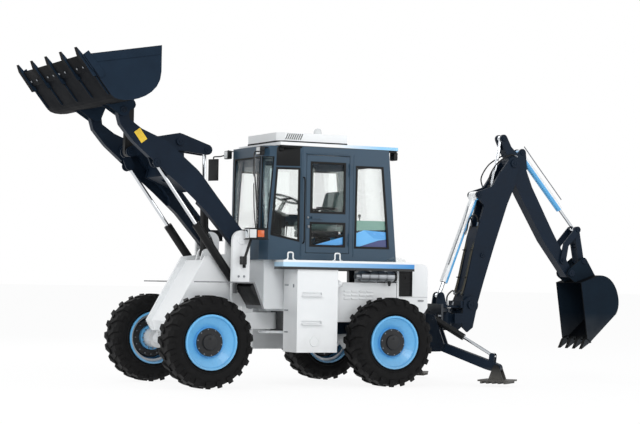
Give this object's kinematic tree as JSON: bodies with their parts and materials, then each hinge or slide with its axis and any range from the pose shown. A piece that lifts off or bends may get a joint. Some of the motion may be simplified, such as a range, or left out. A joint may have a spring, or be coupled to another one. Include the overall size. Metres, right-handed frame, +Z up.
{
  "type": "backhoe loader",
  "caption": "Centre-pivot backhoe loader with a raised front loading bucket, glazed cab, rear digging arm and fold-down stabiliser legs.",
  "frame": {"origin": "centre of the bounding box on the ground", "axes": "+X forward to the loader bucket, +Y to the machine's left, +Z up"},
  "size_m": [7.9286, 2.6508, 3.89],
  "materials": {
    "white_paint": "semi-gloss enamel",
    "slate_paint": "semi-gloss enamel",
    "cab_paint": "semi-gloss enamel",
    "blue_paint": "gloss enamel",
    "black_paint": "satin",
    "tyre_rubber": "dull",
    "cast_grey": "as cast",
    "chrome_plate": "polished",
    "seat_cloth": "woven",
    "sheet_silver": "dull"
  },
  "bodies": {
    "machine": {"rear_frame": "slate_paint", "rear_axle": "white_paint", "engine": "cast_grey", "rear_hood": "white_paint", "cab_frame": "cab_paint", "cab_roof": "white_paint", "operator_seat": "seat_cloth", "steering_column": "black_paint", "air_cleaner": "sheet_silver", "platform_left": "blue_paint", "fuel_tank": "white_paint", "platform_right": "blue_paint", "hydraulic_tank": "white_paint"},
    "door_left": {"cab_door_left": "cab_paint"},
    "door_right": {"cab_door_right": "cab_paint"},
    "rear_wheel_left": {"rear_tyre_left": "tyre_rubber", "rear_rim_left": "blue_paint"},
    "rear_wheel_right": {"rear_tyre_right": "tyre_rubber", "rear_rim_right": "blue_paint"},
    "front": {"front_frame": "white_paint", "front_axle": "white_paint", "front_fender_left": "sheet_silver", "headlight_left": "black_paint", "front_fender_right": "sheet_silver", "headlight_right": "black_paint"},
    "front_wheel_left": {"front_tyre_left": "tyre_rubber", "front_rim_left": "blue_paint"},
    "front_wheel_right": {"front_tyre_right": "tyre_rubber", "front_rim_right": "blue_paint"},
    "loader_arms": {"loader_arms": "slate_paint"},
    "bellcrank": {"bellcrank": "slate_paint"},
    "loader_bucket": {"loader_bucket": "slate_paint"},
    "bucket_link": {"bucket_link": "black_paint"},
    "lift_barrel_left": {"lift_barrel_left": "black_paint"},
    "lift_rod_left": {"lift_rod_left": "chrome_plate"},
    "lift_barrel_right": {"lift_barrel_right": "black_paint"},
    "lift_rod_right": {"lift_rod_right": "chrome_plate"},
    "tilt_barrel": {"tilt_barrel": "black_paint"},
    "tilt_rod": {"tilt_rod": "chrome_plate"},
    "swing_post": {"swing_post": "slate_paint"},
    "boom": {"boom": "slate_paint"},
    "stick": {"stick": "slate_paint"},
    "dig_bucket": {"dig_bucket": "slate_paint"},
    "rocker": {"rocker": "slate_paint"},
    "dig_link": {"dig_link": "slate_paint"},
    "dig_barrel": {"dig_barrel": "blue_paint"},
    "dig_rod": {"dig_rod": "chrome_plate"},
    "boom_barrel": {"boom_barrel": "blue_paint"},
    "boom_rod": {"boom_rod": "chrome_plate"},
    "dipper_barrel": {"dipper_barrel": "blue_paint"},
    "dipper_rod": {"dipper_rod": "chrome_plate"},
    "stabiliser_left": {"stabiliser_leg_left": "slate_paint"},
    "pad_left": {"stabiliser_pad_left": "slate_paint"},
    "leg_barrel_left": {"stabiliser_barrel_left": "black_paint"},
    "leg_rod_left": {"stabiliser_rod_left": "chrome_plate"},
    "stabiliser_right": {"stabiliser_leg_right": "slate_paint"},
    "pad_right": {"stabiliser_pad_right": "slate_paint"},
    "leg_barrel_right": {"stabiliser_barrel_right": "black_paint"},
    "leg_rod_right": {"stabiliser_rod_right": "chrome_plate"}
  },
  "joints": [
    {"name": "rear_wheel_left", "type": "hinge", "parent": "machine", "child": "rear_wheel_left", "pos_m": [-0.14302, 0.865, 0.5375], "axis": [0, 1, 0], "continuous": true},
    {"name": "rear_wheel_right", "type": "hinge", "parent": "machine", "child": "rear_wheel_right", "pos_m": [-0.14302, -0.865, 0.5375], "axis": [0, 1, 0], "continuous": true},
    {"name": "steering", "type": "hinge", "parent": "machine", "child": "front", "pos_m": [1.05698, 0, 0], "axis": [0, 0, 1], "range_deg": [-30, 30]},
    {"name": "front_wheel_left", "type": "hinge", "parent": "front", "child": "front_wheel_left", "pos_m": [2.25698, 0.865, 0.5375], "axis": [0, 1, 0], "continuous": true},
    {"name": "front_wheel_right", "type": "hinge", "parent": "front", "child": "front_wheel_right", "pos_m": [2.25698, -0.865, 0.5375], "axis": [0, 1, 0], "continuous": true},
    {"name": "loader_lift", "type": "hinge", "parent": "front", "child": "loader_arms", "pos_m": [1.68698, 0, 1.73], "axis": [0, -1, 0], "range_deg": [-85, 0]},
    {"name": "loader_bucket", "type": "hinge", "parent": "loader_arms", "child": "loader_bucket", "pos_m": [3.18698, 0, 3.19], "axis": [0, 1, 0], "range_deg": [-33, 97]},
    {"name": "bellcrank_turn", "type": "hinge", "parent": "loader_arms", "child": "bellcrank", "pos_m": [2.30698, 0, 2.89], "axis": [0, -1, 0], "range_deg": [-12, 34]},
    {"name": "bucket_link_turn", "type": "hinge", "parent": "loader_bucket", "child": "bucket_link", "pos_m": [2.91698, 0, 3.3], "axis": [0, -1, 0], "range_deg": [-23, 65]},
    {"name": "lift_barrel_left_turn", "type": "hinge", "parent": "front", "child": "lift_barrel_left", "pos_m": [1.65698, 0.432, 1.15], "axis": [0, -1, 0], "range_deg": [-72.2, 1]},
    {"name": "lift_rod_left_slide", "type": "slide", "parent": "lift_barrel_left", "child": "lift_rod_left", "axis": [0.5978, 0, 0.8016], "range_m": [-0.723, 0.004]},
    {"name": "lift_barrel_right_turn", "type": "hinge", "parent": "front", "child": "lift_barrel_right", "pos_m": [1.65698, -0.432, 1.15], "axis": [0, -1, 0], "range_deg": [-72.2, 1]},
    {"name": "lift_rod_right_slide", "type": "slide", "parent": "lift_barrel_right", "child": "lift_rod_right", "axis": [0.5978, 0, 0.8016], "range_m": [-0.723, 0.004]},
    {"name": "tilt_barrel_turn", "type": "hinge", "parent": "front", "child": "tilt_barrel", "pos_m": [1.91698, 0, 1.563], "axis": [0, -1, 0], "range_deg": [-86, 1]},
    {"name": "tilt_rod_slide", "type": "slide", "parent": "tilt_barrel", "child": "tilt_rod", "axis": [0.02, 0, 0.9998], "range_m": [-0.389, 0.004]},
    {"name": "swing", "type": "hinge", "parent": "machine", "child": "swing_post", "pos_m": [-1.45302, 0, 0], "axis": [0, 0, 1], "range_deg": [-90, 90]},
    {"name": "boom", "type": "hinge", "parent": "swing_post", "child": "boom", "pos_m": [-1.75302, 0, 0.99], "axis": [0, 1, 0], "range_deg": [-75, 10]},
    {"name": "boom_barrel_turn", "type": "hinge", "parent": "boom", "child": "boom_barrel", "pos_m": [-1.88302, 0, 2.411], "axis": [0, -1, 0], "range_deg": [-11, 2.3]},
    {"name": "boom_rod_slide", "type": "slide", "parent": "boom_barrel", "child": "boom_rod", "axis": [0.371, 0, -0.9286], "range_m": [-0.06, 0.427]},
    {"name": "stick", "type": "hinge", "parent": "boom", "child": "stick", "pos_m": [-2.40302, 0, 2.835], "axis": [0, -1, 0], "range_deg": [-85, 12]},
    {"name": "dipper_barrel_turn", "type": "hinge", "parent": "boom", "child": "dipper_barrel", "pos_m": [-1.93802, 0, 1.63], "axis": [0, -1, 0], "range_deg": [-9.2, 2.2]},
    {"name": "dipper_rod_slide", "type": "slide", "parent": "dipper_barrel", "child": "dipper_rod", "axis": [-0.2139, 0, 0.9769], "range_m": [-0.442, 0.066]},
    {"name": "dig_bucket", "type": "hinge", "parent": "stick", "child": "dig_bucket", "pos_m": [-3.31302, 0, 1.423], "axis": [0, 1, 0], "range_deg": [-55, 60]},
    {"name": "rocker_turn", "type": "hinge", "parent": "stick", "child": "rocker", "pos_m": [-3.20302, 0, 1.59], "axis": [0, 1, 0], "range_deg": [-43, 47]},
    {"name": "dig_link_turn", "type": "hinge", "parent": "rocker", "child": "dig_link", "pos_m": [-3.43302, 0, 2], "axis": [0, -1, 0], "range_deg": [-23, 25]},
    {"name": "dig_barrel_turn", "type": "hinge", "parent": "stick", "child": "dig_barrel", "pos_m": [-2.56302, 0, 2.985], "axis": [0, -1, 0], "range_deg": [-7.8, 8.4]},
    {"name": "dig_rod_slide", "type": "slide", "parent": "dig_barrel", "child": "dig_rod", "axis": [-0.662, 0, -0.7495], "range_m": [-0.312, 0.286]},
    {"name": "stabiliser_left", "type": "hinge", "parent": "machine", "child": "stabiliser_left", "pos_m": [-1.12302, 0.5, 0.47], "axis": [0.766, 0.6428, 0], "range_deg": [0, 70]},
    {"name": "pad_left", "type": "hinge", "parent": "stabiliser_left", "child": "pad_left", "pos_m": [-1.58776, 1.05385, 0.226], "axis": [0.766, 0.6428, 0], "range_deg": [-25, 1]},
    {"name": "leg_barrel_left_turn", "type": "hinge", "parent": "machine", "child": "leg_barrel_left", "pos_m": [-1.04589, 0.40807, 0.82], "axis": [0.766, 0.6428, 0], "range_deg": [-1, 56.5]},
    {"name": "leg_rod_left_slide", "type": "slide", "parent": "leg_barrel_left", "child": "leg_rod_left", "axis": [-0.5591, 0.6664, -0.4933], "range_m": [-0.396, 0.004]},
    {"name": "door_left", "type": "hinge", "parent": "machine", "child": "door_left", "pos_m": [0.27398, 0.612, 0], "axis": [0, 0, 1], "range_deg": [0, 90]},
    {"name": "stabiliser_right", "type": "hinge", "parent": "machine", "child": "stabiliser_right", "pos_m": [-1.12302, -0.5, 0.47], "axis": [-0.766, 0.6428, 0], "range_deg": [0, 70]},
    {"name": "pad_right", "type": "hinge", "parent": "stabiliser_right", "child": "pad_right", "pos_m": [-1.58776, -1.05385, 0.226], "axis": [-0.766, 0.6428, 0], "range_deg": [-25, 1]},
    {"name": "leg_barrel_right_turn", "type": "hinge", "parent": "machine", "child": "leg_barrel_right", "pos_m": [-1.04589, -0.40807, 0.82], "axis": [-0.766, 0.6428, 0], "range_deg": [-1, 56.5]},
    {"name": "leg_rod_right_slide", "type": "slide", "parent": "leg_barrel_right", "child": "leg_rod_right", "axis": [-0.5591, -0.6664, -0.4933], "range_m": [-0.396, 0.004]},
    {"name": "door_right", "type": "hinge", "parent": "machine", "child": "door_right", "pos_m": [0.27398, -0.612, 0], "axis": [0, 0, -1], "range_deg": [0, 90]}
  ],
  "couplings": [
    {"joint": "bellcrank_turn", "follows": "loader_bucket", "ratio": 0.33},
    {"joint": "bucket_link_turn", "follows": "loader_bucket", "ratio": 0.65},
    {"joint": "lift_barrel_left_turn", "follows": "loader_lift", "ratio": 0.838},
    {"joint": "lift_rod_left_slide", "follows": "loader_lift", "m_per_rad": 0.4847},
    {"joint": "lift_barrel_right_turn", "follows": "loader_lift", "ratio": 0.838},
    {"joint": "lift_rod_right_slide", "follows": "loader_lift", "m_per_rad": 0.4847},
    {"joint": "tilt_barrel_turn", "follows": "loader_lift", "ratio": 1},
    {"joint": "tilt_rod_slide", "follows": "loader_lift", "m_per_rad": 0.2592},
    {"joint": "boom_barrel_turn", "follows": "boom", "ratio": 0.1339},
    {"joint": "boom_rod_slide", "follows": "boom", "m_per_rad": -0.3232},
    {"joint": "dipper_barrel_turn", "follows": "stick", "ratio": 0.0962},
    {"joint": "dipper_rod_slide", "follows": "stick", "m_per_rad": 0.2955},
    {"joint": "rocker_turn", "follows": "dig_bucket", "ratio": 0.76},
    {"joint": "dig_link_turn", "follows": "dig_bucket", "ratio": 0.389},
    {"joint": "dig_barrel_turn", "follows": "dig_bucket", "ratio": 0.1239},
    {"joint": "dig_rod_slide", "follows": "dig_bucket", "m_per_rad": -0.2937},
    {"joint": "pad_left", "follows": "stabiliser_left", "ratio": -0.3},
    {"joint": "leg_barrel_left_turn", "follows": "stabiliser_left", "ratio": 0.7922},
    {"joint": "leg_rod_left_slide", "follows": "stabiliser_left", "m_per_rad": -0.3208},
    {"joint": "pad_right", "follows": "stabiliser_right", "ratio": -0.3},
    {"joint": "leg_barrel_right_turn", "follows": "stabiliser_right", "ratio": 0.7922},
    {"joint": "leg_rod_right_slide", "follows": "stabiliser_right", "m_per_rad": -0.3208}
  ]
}
